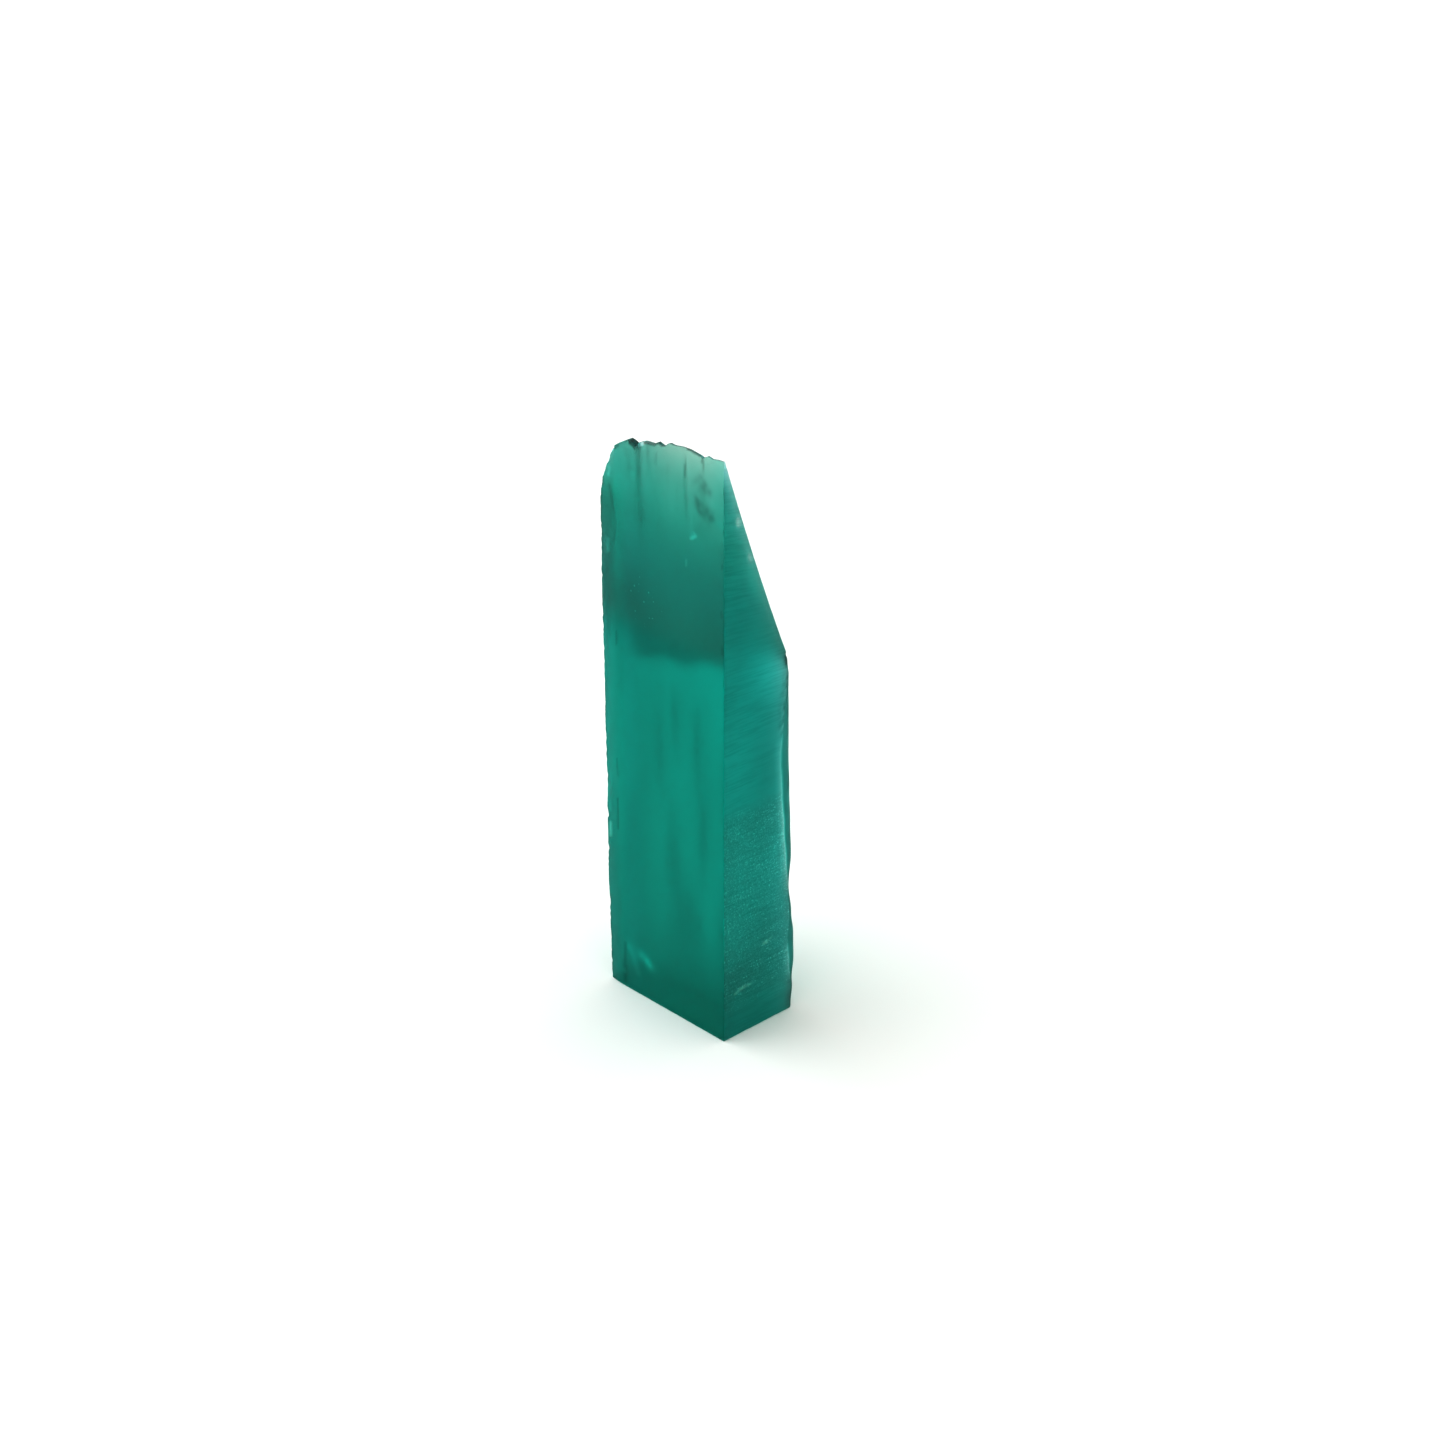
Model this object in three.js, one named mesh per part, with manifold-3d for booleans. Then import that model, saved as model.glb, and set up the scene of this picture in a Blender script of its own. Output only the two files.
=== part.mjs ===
// An upright bar of grown emerald, sawn on three sides and standing on its sawn base.
//
// Millimetres, +Z up. The bar is shaped with x = 0 on the sawn right face, y = 0 on the sawn
// front face and z = 0 on the sawn base, so the crystal lies at x < 0, y > 0 and z > 0.
// The finished piece is then centred over the origin.
//
// The order follows the real thing: a rough grown body with a wavy back and a natural left
// side, then the saw cuts, then what has broken off since.

import * as THREE from 'three';
import { mergeVertices } from 'three/addons/utils/BufferGeometryUtils.js';
import Module from 'manifold-3d';

// ---- driving dimensions ----

const HEIGHT = 40.13; // sawn edge at the front right, base to tip
const WIDTH = 11.3; // sawn right face to the natural left side
const STRIP_START = 9.65; // where the flat front face ends, measured from the right face
const STRIP_DEPTH = 0.08; // how far the rough strip beyond it curves back
const SPARE = 1; // how far the grown body runs past each saw cut

const TIP_THICKNESS = 0.07; // the wedge at the top, front to back
const SLOPE_RUN = 0.338; // how far the slope falls back in its first millimetre down
const SLOPE_SWELL = 0.0025; // and how much more it falls back lower down
const KINK_DEPTH = 5.33; // thickness where the slope meets the grown back, at the right face
const BACK_TAPER = 0.1; // how much thicker the bar gets for each millimetre to the left
const BACK_SWAY = 0.08; // long upright waves in the grown back

// thickness at the right face, and how far the grown corner there is worn round
const BACK_PROFILE = [
  { z: -1, depth: 6.2, round: 0.2 },
  { z: 0.4, depth: 6.26, round: 0.2 },
  { z: 1.6, depth: 6.42, round: 0.25 },
  { z: 3.3, depth: 6.88, round: 1.1 },
  { z: 5.2, depth: 6.84, round: 1.3 },
  { z: 7, depth: 6.52, round: 0.7 },
  { z: 9.2, depth: 6.16, round: 0.3 },
  { z: 11.2, depth: 6.52, round: 0.7 },
  { z: 13.6, depth: 6.43, round: 1.2 },
  { z: 16, depth: 6.34, round: 1.4 },
  { z: 19, depth: 6.26, round: 1.4 },
  { z: 21.8, depth: 6.17, round: 0.9 },
  { z: 24.4, depth: 6, round: 0.5 },
  { z: 25.4, depth: 5.64, round: 0.2 },
  { z: 26.1, depth: 5.33, round: 0.1 },
];
const CORNER_WIDTH = 0.85; // how far across the back the worn corner reaches
const CORNER_REACH = 2.8; // and how far across its own swellings die out
const CORNER_CURVE = 2.2; // how sharply the wear falls off across it

// thickness away from that corner, before the taper
const BACK_PLANE = [
  { z: -1, depth: 6.3 },
  { z: 4, depth: 6.42 },
  { z: 12, depth: 6.25 },
  { z: 20, depth: 5.9 },
  { z: 26.1, depth: 5.33 },
];

// the natural left side: how far in from WIDTH the skin lies at each height
const LEFT_PROFILE = [
  { z: -1, inset: 0.43 },
  { z: 4.5, inset: 0.35 },
  { z: 9, inset: 0.25 },
  { z: 13, inset: 0.27 },
  { z: 14.8, inset: 0.32 },
  { z: 17, inset: 0.22 },
  { z: 22, inset: 0.22 },
  { z: 27, inset: 0.14 },
  { z: 34.8, inset: 0.17 },
  { z: 35.9, inset: 0.38 },
  { z: 36.6, inset: 0.68 },
  { z: 37.4, inset: 1.08 },
  { z: 38.2, inset: 1.45 },
  { z: 41.5, inset: 2.9 },
];
const LEFT_BELLY = 0.12; // how far the left side swells out half way to the back
const LEFT_RIPPLE = 0.03; // and how far its ripples stand out
const BACK_CHAMFER = { depth: 0.3, width: 0.25 }; // the blunt corner between left side and back

// swellings (+) and hollows (-) of the grown back, x measured from the right face
const HILLOCKS = [
  { x: 3.4, z: 4.2, wide: 2.4, tall: 3.4, rise: 0.1 },
  { x: 8.2, z: 3.0, wide: 2.2, tall: 3.0, rise: 0.1 },
  { x: 6.0, z: 9.0, wide: 2.4, tall: 3.4, rise: 0.08 },
  { x: 9.4, z: 10.6, wide: 2.0, tall: 3.6, rise: 0.08 },
  { x: 3.6, z: 14.0, wide: 2.2, tall: 3.6, rise: 0.08 },
  { x: 6.9, z: 16.2, wide: 1.6, tall: 3.8, rise: -0.06 },
  { x: 8.8, z: 19.0, wide: 2.0, tall: 3.2, rise: 0.07 },
];

// upright furrows in the slope, which lean to the left as they run down
const FURROWS = [
  { x: 8.05, z: 36.0, wide: 0.34, tall: 2.4, deep: 0.1 },
  { x: 6.35, z: 33.6, wide: 0.5, tall: 3.0, deep: 0.05 },
  { x: 3.7, z: 37.4, wide: 0.2, tall: 1.9, deep: 0.06 },
  { x: 2.0, z: 36.6, wide: 0.4, tall: 1.3, deep: 0.08 },
  { x: 4.6, z: 32.4, wide: 0.4, tall: 2.6, deep: 0.05 },
  { x: 9.7, z: 30.4, wide: 0.5, tall: 3.2, deep: 0.08 },
];
const FURROW_LEAN = 0.175; // to the left, for each millimetre down
const FURROW_START = 1.2; // they reach full depth this far above the kink
const THIN_TIP = 0.6; // and fade where the tip is thinner than this
const HILL_END = 2.5; // the swellings of the back die out over this much below the kink

// the broken rim, from the tip at the right face round to the left shoulder
const RIM = [
  [0.0, 40.03], [0.5, 40.02], [1.02, 39.92], [1.36, 40.02], [1.55, 39.92], [1.8, 39.75], [2.05, 39.86],
  [2.9, 40.0], [3.6, 39.98], [4.3, 39.86], [4.74, 39.9], [5.18, 39.52], [5.45, 39.54], [5.8, 39.7],
  [5.98, 39.4], [7.05, 39.32], [7.41, 39.18], [7.73, 38.7], [8.04, 38.98], [8.44, 39.08],
  [9.2, 38.66], [9.8, 38.26], [10.4, 38.02],
];

// chips knocked out of the edges: the centre and the half-size of each
const CHIPS = [
  { at: [-11.1, 0.25, 0], size: [0.34, 0.4, 0.3] },
  { at: [-11.3, 0.3, 12.2], size: [0.16, 0.3, 0.6] },
  { at: [-11.36, 0.3, 31.2], size: [0.16, 0.3, 0.4] },
  { at: [-11.34, 0.35, 26.6], size: [0.12, 0.3, 0.5] },
  { at: [0.1, 5.36, 25.8], size: [0.4, 0.14, 0.2] },
  { at: [-5.3, 0.3, 39.85], size: [0.5, 0.3, 0.2] },
  { at: [-0.05, 6.22, 9.5], size: [0.36, 0.24, 0.5] },
  { at: [0, 0, 0], size: [0.12, 0.12, 0.14] },
];

const COLUMN = 0.36; // spacing across the bar
const STRIP_COLUMN = 0.4; // over the left strip
const CORNER_COLUMN = 0.17; // over the worn corner
const ROW = 0.8; // spacing up the bar
const LAYERS = 9; // steps from front to back on the left side

// ---- the grown body ----

const mix = (a, b, t) => a + (b - a) * t;
const bell = (d) => Math.exp(-d * d);
const eased = (t) => (t >= 1 ? 1 : t * t * (3 - 2 * t));
const swelling = ({ x, z, wide, tall }, atX, atZ) => bell((atX - x) / wide) * bell((atZ - z) / tall);

// a value read off a profile between its two nearest heights, easing in and out of each
function along(profile, key, z) {
  const last = profile.length - 1;
  if (z <= profile[0].z) return profile[0][key];
  if (z >= profile[last].z) return profile[last][key];
  const i = profile.findIndex((stop) => stop.z > z) - 1;
  const t = (z - profile[i].z) / (profile[i + 1].z - profile[i].z);
  return mix(profile[i][key], profile[i + 1][key], eased(t));
}

function slopeDepth(z) {
  const down = HEIGHT - z;
  return TIP_THICKNESS + SLOPE_RUN * down + SLOPE_SWELL * down * Math.abs(down);
}

function backSway(across) {
  return BACK_SWAY * Math.sin(1.25 * across + 0.6 * Math.sin(0.9 * across)) * Math.min(1, across / 2);
}

// where the slope has fallen back as far as the grown back lies
function kinkHeight(across) {
  const rest = KINK_DEPTH + BACK_TAPER * across + backSway(across) - TIP_THICKNESS;
  const root = Math.sqrt(SLOPE_RUN ** 2 + 4 * SLOPE_SWELL * rest);
  return HEIGHT - (root - SLOPE_RUN) / (2 * SLOPE_SWELL);
}

// thickness of the bar; across is the distance from the right face
function backDepth(across, z) {
  const kink = kinkHeight(across);
  if (z >= kink) {
    const upright = (f) => across - FURROW_LEAN * (f.z - z);
    const furrow = FURROWS.reduce((sum, f) => sum + f.deep * swelling(f, upright(f), z), 0);
    return slopeDepth(z) - furrow * Math.min(1, (z - kink) / FURROW_START, slopeDepth(z) / THIN_TIP);
  }
  const level = z * kinkHeight(0) / kink; // the profile is squeezed where the kink lies lower
  const settle = Math.min(1, (kink - z) / HILL_END);
  const hills = HILLOCKS.reduce((sum, h) => sum + h.rise * swelling(h, across, z), 0);
  const inward = Math.max(0, Math.min(1, across / CORNER_WIDTH));
  const near = Math.max(0, 1 - across / CORNER_WIDTH);
  const wear = near ** CORNER_CURVE * along(BACK_PROFILE, 'round', level);
  const blunt = Math.max(0, 1 - (WIDTH - across) / BACK_CHAMFER.width) * BACK_CHAMFER.depth;
  const corner = along(BACK_PROFILE, 'depth', level);
  const plain = mix(corner, along(BACK_PLANE, 'depth', level), eased(across / CORNER_REACH));
  const grown = plain + BACK_TAPER * across + backSway(across);
  return grown + hills * settle * inward - wear - blunt * settle;
}

// flat in the saw cut, then curving back over the strip
function frontDepth(across) {
  const strip = (across - STRIP_START) / (WIDTH - STRIP_START);
  return strip > 0 ? STRIP_DEPTH * strip ** 2 : -SPARE;
}

// the left skin's distance from the right face; share runs from 0 at the front to 1 at the back
function leftReach(share, z) {
  const belly = LEFT_BELLY * Math.sin(Math.PI * Math.min(1, share * 1.15));
  const ripple = LEFT_RIPPLE * Math.sin(1.9 * z + 4 * share) * Math.sin(0.7 * z - 3 * share) * share;
  return WIDTH - along(LEFT_PROFILE, 'inset', z) + belly + ripple;
}

function stations(from, to, spacing) {
  const steps = Math.max(1, Math.round(Math.abs(to - from) / spacing));
  return Array.from({ length: steps }, (_, i) => mix(from, to, i / steps));
}

function grownBody() {
  // distances from the right face
  const columns = [
    ...stations(WIDTH, STRIP_START, STRIP_COLUMN),
    ...stations(STRIP_START, CORNER_WIDTH, COLUMN),
    ...stations(CORNER_WIDTH, 0, CORNER_COLUMN),
    ...stations(0, -SPARE, SPARE),
    -SPARE,
  ];
  const rowsBelow = Math.round(kinkHeight(0) / ROW);
  const rowsAbove = Math.round((HEIGHT - kinkHeight(0)) / ROW);
  const rows = rowsBelow + rowsAbove;

  const body = new THREE.BoxGeometry(1, 1, 1, columns.length - 1, LAYERS, rows);
  const corner = body.getAttribute('position');
  for (let n = 0; n < corner.count; n += 1) {
    const column = Math.round((corner.getX(n) + 0.5) * (columns.length - 1));
    const share = corner.getY(n) + 0.5;
    const row = Math.round((corner.getZ(n) + 0.5) * rows);

    const station = Math.max(0, columns[column]);
    const kink = kinkHeight(station);
    const z = row <= rowsBelow
      ? mix(-SPARE, kink, row / rowsBelow)
      : mix(kink, HEIGHT + SPARE, (row - rowsBelow) / rowsAbove);

    // inside the left strip the columns follow the skin in and out
    const strip = Math.max(0, (station - STRIP_START) / (WIDTH - STRIP_START));
    const across = strip > 0 ? mix(STRIP_START, leftReach(share, z), strip) : columns[column];
    const front = frontDepth(across);
    const back = Math.max(front + 0.05, backDepth(station, z));
    corner.setXYZ(n, -across, mix(front, back, share), z);
  }
  return body;
}

// ---- what is cut and broken away ----

function sawnBlock() {
  const size = 60;
  return new THREE.BoxGeometry(size, size, size).translate(-size / 2, size / 2, size / 2);
}

function missingTop() {
  const above = HEIGHT + 5;
  const beyond = -WIDTH - 2;
  const thickness = 8;
  const outline = new THREE.Shape();
  outline.moveTo(SPARE, above);
  outline.lineTo(SPARE, RIM[0][1]);
  RIM.forEach(([across, z]) => outline.lineTo(-across, z));
  outline.lineTo(beyond, RIM.at(-1)[1] - 0.8);
  outline.lineTo(beyond, above);
  // drawn upright over the front face, and run through to the back
  return new THREE.ExtrudeGeometry(outline, { depth: thickness, bevelEnabled: false })
    .rotateX(Math.PI / 2)
    .translate(0, thickness - SPARE, 0);
}

function chip({ at, size }, index) {
  return new THREE.IcosahedronGeometry(1, 0)
    .rotateX(0.7 * index)
    .rotateZ(1.1 * index)
    .scale(...size)
    .translate(...at);
}

// ---- solids ----

const wasm = await Module();
wasm.setup();

function solid(geometry) {
  const bare = geometry.clone();
  bare.deleteAttribute('normal');
  bare.deleteAttribute('uv');
  const merged = mergeVertices(bare, 1e-5);
  return new wasm.Manifold(new wasm.Mesh({
    numProp: 3,
    vertProperties: new Float32Array(merged.getAttribute('position').array),
    triVerts: new Uint32Array(merged.getIndex().array),
  }));
}

function geometryOf(manifold) {
  const { vertProperties, triVerts } = manifold.getMesh();
  const geometry = new THREE.BufferGeometry();
  geometry.setAttribute('position', new THREE.BufferAttribute(vertProperties, 3));
  geometry.setIndex(new THREE.BufferAttribute(triVerts, 1));
  return geometry;
}

function emeraldCrystal() {
  let crystal = solid(grownBody()).intersect(solid(sawnBlock()));
  crystal = crystal.subtract(solid(missingTop()));
  CHIPS.forEach((spec, index) => {
    crystal = crystal.subtract(solid(chip(spec, index)));
  });

  const geometry = geometryOf(crystal);
  geometry.computeVertexNormals();
  const mesh = new THREE.Mesh(geometry, new THREE.MeshStandardMaterial({
    color: 0x0f8a76,
    roughness: 0.25,
    metalness: 0,
    transparent: true,
    opacity: 0.75,
  }));
  mesh.name = 'emerald_crystal';

  // the middle of the bar goes over the origin, and the base on the ground
  geometry.computeBoundingBox();
  const middle = geometry.boundingBox.getCenter(new THREE.Vector3());
  mesh.position.set(-middle.x, -middle.y, -geometry.boundingBox.min.z);
  return mesh;
}

const emerald = new THREE.Group();
emerald.add(emeraldCrystal());

export default emerald;
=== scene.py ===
import math
import time

import bpy
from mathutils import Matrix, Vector, noise


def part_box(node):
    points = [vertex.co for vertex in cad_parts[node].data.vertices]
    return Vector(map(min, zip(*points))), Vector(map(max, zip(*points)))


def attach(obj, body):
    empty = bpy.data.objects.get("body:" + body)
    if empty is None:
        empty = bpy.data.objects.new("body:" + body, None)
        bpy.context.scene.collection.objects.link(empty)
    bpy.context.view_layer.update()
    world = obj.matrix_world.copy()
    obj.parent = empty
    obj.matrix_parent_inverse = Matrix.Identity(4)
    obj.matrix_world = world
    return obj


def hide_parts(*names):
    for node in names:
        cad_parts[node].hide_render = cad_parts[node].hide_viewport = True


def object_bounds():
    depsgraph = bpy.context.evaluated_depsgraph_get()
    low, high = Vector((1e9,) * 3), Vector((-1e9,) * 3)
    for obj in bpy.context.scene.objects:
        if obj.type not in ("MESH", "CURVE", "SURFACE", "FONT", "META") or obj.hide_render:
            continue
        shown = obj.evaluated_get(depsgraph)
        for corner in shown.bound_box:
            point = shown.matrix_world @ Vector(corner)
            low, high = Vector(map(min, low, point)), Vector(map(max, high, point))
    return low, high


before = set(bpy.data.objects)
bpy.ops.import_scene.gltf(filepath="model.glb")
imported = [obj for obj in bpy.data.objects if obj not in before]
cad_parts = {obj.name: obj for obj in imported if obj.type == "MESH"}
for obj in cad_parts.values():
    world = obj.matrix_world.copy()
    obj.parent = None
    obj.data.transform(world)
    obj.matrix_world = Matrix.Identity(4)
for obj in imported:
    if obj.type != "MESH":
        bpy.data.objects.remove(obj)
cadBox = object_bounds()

mm = 0.001
started = time.time()


def report(words):
    print(f"emerald: {words} ({time.time() - started:.1f} s)")


def mix(a, b, t):
    return a + (b - a) * t


def bell(d):
    return math.exp(-d * d)


def clamped(value, least=0, most=1):
    return max(least, min(most, value))


def eased(t):  # 0 to 1 with a soft start and end
    t = clamped(t)
    return t * t * (3 - 2 * t)


def cloud(x, y, z):  # soft noise, about -1 to 1, the same each time
    return noise.noise(Vector((x, y, z)))


def along(stops, column, z):  # a value between the two nearest heights, eased
    if z <= stops[0][0]:
        return stops[0][column]
    for below, above in zip(stops, stops[1:]):
        if z < above[0]:
            return mix(below[column], above[column], eased((z - below[0]) / (above[0] - below[0])))
    return stops[-1][column]


def atRim(stops, across):  # straight from point to point, because a break is sharp
    if across <= stops[0][0]:
        return stops[0][1]
    for near, far in zip(stops, stops[1:]):
        if across < far[0]:
            return mix(near[1], far[1], (across - near[0]) / (far[0] - near[0]))
    return stops[-1][1]


# The crystal, in millimetres. Distances go left from the sawn right face, back from the sawn
# front face and up from the sawn base.
crystal = {
    "height": 40.13,
    "width": 11.3,
    "stripStart": 9.65,  # the flat front ends here and the rough strip begins
    "stripDepth": 0.08,  # how far it curves back
    "tipThickness": 0.07,
    "slopeRun": 0.338,
    "slopeSwell": 0.0025,
    "kinkDepth": 5.33,
    "backTaper": 0.1,
    "backSway": 0.08,  # long upright waves in the grown back
    "cornerWidth": 0.85,
    "cornerReach": 2.8,  # the corner's own swellings die out this far across
    "belly": 0.12,
    "chamferDepth": 0.3,
    "chamferWidth": 0.25,
    # height, thickness at the right face, how far its grown corner is worn round
    "backProfile": [
        (-1, 6.2, 0.2), (0.4, 6.26, 0.2), (1.6, 6.42, 0.25), (3.3, 6.88, 1), (5.2, 6.84, 1.1),
        (7, 6.52, 0.65), (9.2, 6.16, 0.45), (11.2, 6.52, 1), (13.6, 6.43, 1.12), (16, 6.34, 1.22),
        (19, 6.26, 1.3), (21.8, 6.17, 0.9), (24.4, 6, 0.5), (25.4, 5.64, 0.2), (26.1, 5.33, 0.1),
    ],
    # height, thickness away from the corner, without the taper
    "backPlane": [(-1, 6.3), (4, 6.42), (12, 6.25), (20, 5.9), (26.1, 5.33)],
    # height, how far in the left side lies
    "leftProfile": [
        (-1, 0.43), (4.5, 0.35), (9, 0.25), (13, 0.27), (14.8, 0.32), (17, 0.22), (22, 0.22),
        (27, 0.14), (34.8, 0.17), (35.9, 0.38), (36.6, 0.68), (37.4, 1.08), (38.2, 1.45), (41.5, 2.9),
    ],
    # distance from the right face, height of the broken edge
    "rim": [
        (0, 40.03), (0.5, 40.02), (1.02, 39.92), (1.36, 40.02), (1.55, 39.92), (1.8, 39.75),
        (2.05, 39.86), (2.9, 40), (3.6, 39.98), (4.3, 39.86), (4.74, 39.9), (5.18, 39.52),
        (5.45, 39.54), (5.8, 39.7), (5.98, 39.4), (7.05, 39.32), (7.41, 39.18), (7.73, 38.7),
        (8.04, 38.98), (8.44, 39.08), (9.2, 38.66), (9.8, 38.26), (10.4, 38.02),
    ],
    # across, height, half width, half height, rise
    "hillocks": [
        (3.4, 4.2, 2.4, 3.4, 0.1), (8.2, 3.0, 2.2, 3.0, 0.1), (6.0, 9.0, 2.4, 3.4, 0.08),
        (9.4, 10.6, 2.0, 3.6, 0.08), (3.6, 14.0, 2.2, 3.6, 0.08), (6.9, 16.2, 1.6, 3.8, -0.06),
        (8.8, 19.0, 2.0, 3.2, 0.07),
    ],
    "furrows": [
        (8.05, 36.0, 0.34, 2.4, 0.1), (6.35, 33.6, 0.5, 3.0, 0.05), (3.7, 37.4, 0.2, 1.9, 0.06),
        (2.0, 36.6, 0.4, 1.3, 0.08), (4.6, 32.4, 0.4, 2.6, 0.05), (9.7, 30.4, 0.5, 3.2, 0.08),
    ],
    "lean": 0.175,  # how far the marks on the slope lean left, for each millimetre down
    # tiny pits in the slope that catch the light: across, height, half width, depth
    "sparks": [
        (3.88, 33.75, 0.14, 0.09), (3.72, 33.95, 0.1, 0.07), (4.9, 31.65, 0.09, 0.06),
        (8.55, 29.6, 0.08, 0.05), (9.6, 30.1, 0.09, 0.05), (9.2, 27.9, 0.08, 0.05),
        (9.0, 27.3, 0.07, 0.05), (9.65, 27.0, 0.08, 0.05), (10.1, 28.4, 0.08, 0.05),
        (8.9, 28.6, 0.07, 0.05), (10.3, 26.9, 0.07, 0.05), (8.6, 25.6, 0.08, 0.05),
    ],
    "columnStep": 0.15,
    "rowStep": 0.16,
    "fineStep": 0.085,  # over the marks near the top
    "fineAcross": 3.6,
    "fineHeights": (34.1, 38.9),
    "layers": 36,
    "edgeStep": 0.05,  # the first step in from a sawn edge, which its wear takes up
    "wear": 0.016,  # how far the sawn edges have worn back
    "nicks": 0.05,
    "thinnest": 0.03,  # the least the crystal is from front to back
    "tipHeight": 1,  # the wedge's last stretch, where it is too thin to wear
    "fullFurrow": 0.6,  # where the wedge is thinner than this, its furrows are shallower
    "usualDepth": 6,  # about how thick the bar is, for the first step in along its depth
    "stripLip": 0.02,
    "stripGrain": 0.025,
    "backGrain": 0.012,
    "slopeGrain": 0.012,
    "ribHeights": (0.07, 0.018),  # broad and fine swellings in the back
    "settleAbove": 1.2,  # furrows die out this far above the kink
    "settleBelow": 2.5,  # and hillocks this far below it
    "cornerCurve": 2.2,  # how sharply the worn corner falls off
    "leftRipple": 0.03,
    "leftGrain": 0.02,
    "leftFlutes": 0.03,
    "leftNicks": (0.16, 0.12),
    "sharpAngle": 28,  # degrees, edges past this stay crisp
}


def slopeDepth(z):
    down = crystal["height"] - z
    return crystal["tipThickness"] + crystal["slopeRun"] * down + crystal["slopeSwell"] * down * abs(down)


def backSway(across):
    return crystal["backSway"] * math.sin(1.25 * across + 0.6 * math.sin(0.9 * across)) * min(1, across / 2)


def kinkHeight(across):
    rest = crystal["kinkDepth"] + crystal["backTaper"] * across + backSway(across) - crystal["tipThickness"]
    root = math.sqrt(crystal["slopeRun"] ** 2 + 4 * crystal["slopeSwell"] * rest)
    return crystal["height"] - (root - crystal["slopeRun"]) / (2 * crystal["slopeSwell"])


def bumps(shapes, across, z):  # across, height, half width, half height and rise of each shape
    return sum(s[4] * bell((across - s[0]) / s[2]) * bell((z - s[1]) / s[3]) for s in shapes)


def leaning(shapes, across, z):  # the same for marks that lean as they go down the slope
    rise = 0
    for middle, height, halfWidth, halfHeight, most in shapes:
        shift = crystal["lean"] * (height - z)
        rise += most * bell((across - middle - shift) / halfWidth) * bell((z - height) / halfHeight)
    return rise


def grownGrain(x, y, z, size):  # fine growth relief, in millimetres
    spot = Vector((x, y, z * 0.55))
    return size * (noise.noise(spot * 0.9) + 0.45 * noise.noise(spot * 2.3) + 0.2 * noise.noise(spot * 5.1))


def ribs(across, z):  # long low swellings that run up the grown back
    wander = cloud(across * 0.5, z * 0.12, 2.2)
    wide = cloud(across * 1.05 + wander, z * 0.1, 5.5)
    fine = cloud(across * 2.6 + wander, z * 0.16, 8.1)
    broadHeight, fineHeight = crystal["ribHeights"]
    return broadHeight * wide + fineHeight * fine


def backDepth(across, z):
    kink = kinkHeight(across)
    if z >= kink:
        furrow = leaning(crystal["furrows"], across, z)
        upright = across - crystal["lean"] * (crystal["height"] - z)
        for middle, height, halfWidth, pit in crystal["sparks"]:
            furrow += pit * bell((across - middle) / halfWidth) * bell((z - height) / halfWidth)
        furrow += crystal["slopeGrain"] * (cloud(upright * 2.6, z * 0.35, 9.3) + 1)
        settle = min(1, (z - kink) / crystal["settleAbove"])
        return slopeDepth(z) - furrow * settle * min(1, slopeDepth(z) / crystal["fullFurrow"])
    level = z * kinkHeight(0) / kink
    settle = min(1, (kink - z) / crystal["settleBelow"])
    inward = clamped(across / crystal["cornerWidth"])
    hills = bumps(crystal["hillocks"], across, z) + ribs(across, z)
    hills += grownGrain(across, 0, z, crystal["backGrain"])
    worn = max(0, 1 - across / crystal["cornerWidth"]) ** crystal["cornerCurve"]
    worn *= along(crystal["backProfile"], 2, level)
    blunt = max(0, 1 - (crystal["width"] - across) / crystal["chamferWidth"]) * crystal["chamferDepth"]
    away = eased(across / crystal["cornerReach"])
    corner = along(crystal["backProfile"], 1, level)
    grown = mix(corner, along(crystal["backPlane"], 1, level), away)
    grown += crystal["backTaper"] * across + backSway(across)
    return grown + hills * settle * inward - worn - blunt * settle


def leftReach(share, z):
    belly = crystal["belly"] * math.sin(math.pi * min(1, share * 1.15))
    ripple = crystal["leftRipple"] * math.sin(1.9 * z + 4 * share) * math.sin(0.7 * z - 3 * share) * share
    grain = grownGrain(share * 6, 3.3, z, crystal["leftGrain"])
    grain += crystal["leftFlutes"] * cloud(share * 14, 4.1, z * 0.2)
    large, small = crystal["leftNicks"]
    nick = large * max(0, cloud(share * 3, 1.7, z * 1.5) - 0.12)
    nick += small * max(0, cloud(share * 5, 8.7, z * 3.4) - 0.15)
    return crystal["width"] - along(crystal["leftProfile"], 1, z) + belly + ripple + grain - nick


def steps(start, end, size, tightStart=False, tightEnd=False):
    # evenly spaced stations, with one close station beside a sawn edge
    count = max(2, round(abs(end - start) / size))
    stations = [mix(start, end, i / count) for i in range(count + 1)]
    nudge = crystal["edgeStep"] * (1 if end > start else -1)
    if tightStart:
        stations.insert(1, start + nudge)
    if tightEnd:
        stations.insert(-1, end - nudge)
    return stations


def wornBy(x, y, z):  # how far a sawn edge has worn back at this place
    rough = cloud(x * 1.7, y * 1.7, z * 1.7 + 3)
    chip = cloud(x * 0.8, y * 0.8, z * 0.8 - 8)
    return crystal["wear"] * (1 + 0.5 * rough) + crystal["nicks"] * max(0, chip - 0.25) * 2


def crystalPoint(station, share, low, up):
    # station runs across, share from front to back, low up to the kink and up from there
    kink = kinkHeight(station)
    rim = atRim(crystal["rim"], station)
    z = mix(0, kink, low) if up is None else mix(kink, rim, up)
    stripWidth = crystal["width"] - crystal["stripStart"]
    strip = max(0, (station - crystal["stripStart"]) / stripWidth)
    across = mix(crystal["stripStart"], leftReach(share, z), strip) if strip else station
    front = 0
    if strip:
        grain = grownGrain(across * 2, 7, z * 2, crystal["stripGrain"])
        front = crystal["stripDepth"] * strip ** 2 + strip * (crystal["stripLip"] + grain)
    back = max(front + crystal["thinnest"], backDepth(station, z))
    return across, mix(front, back, share), z


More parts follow.
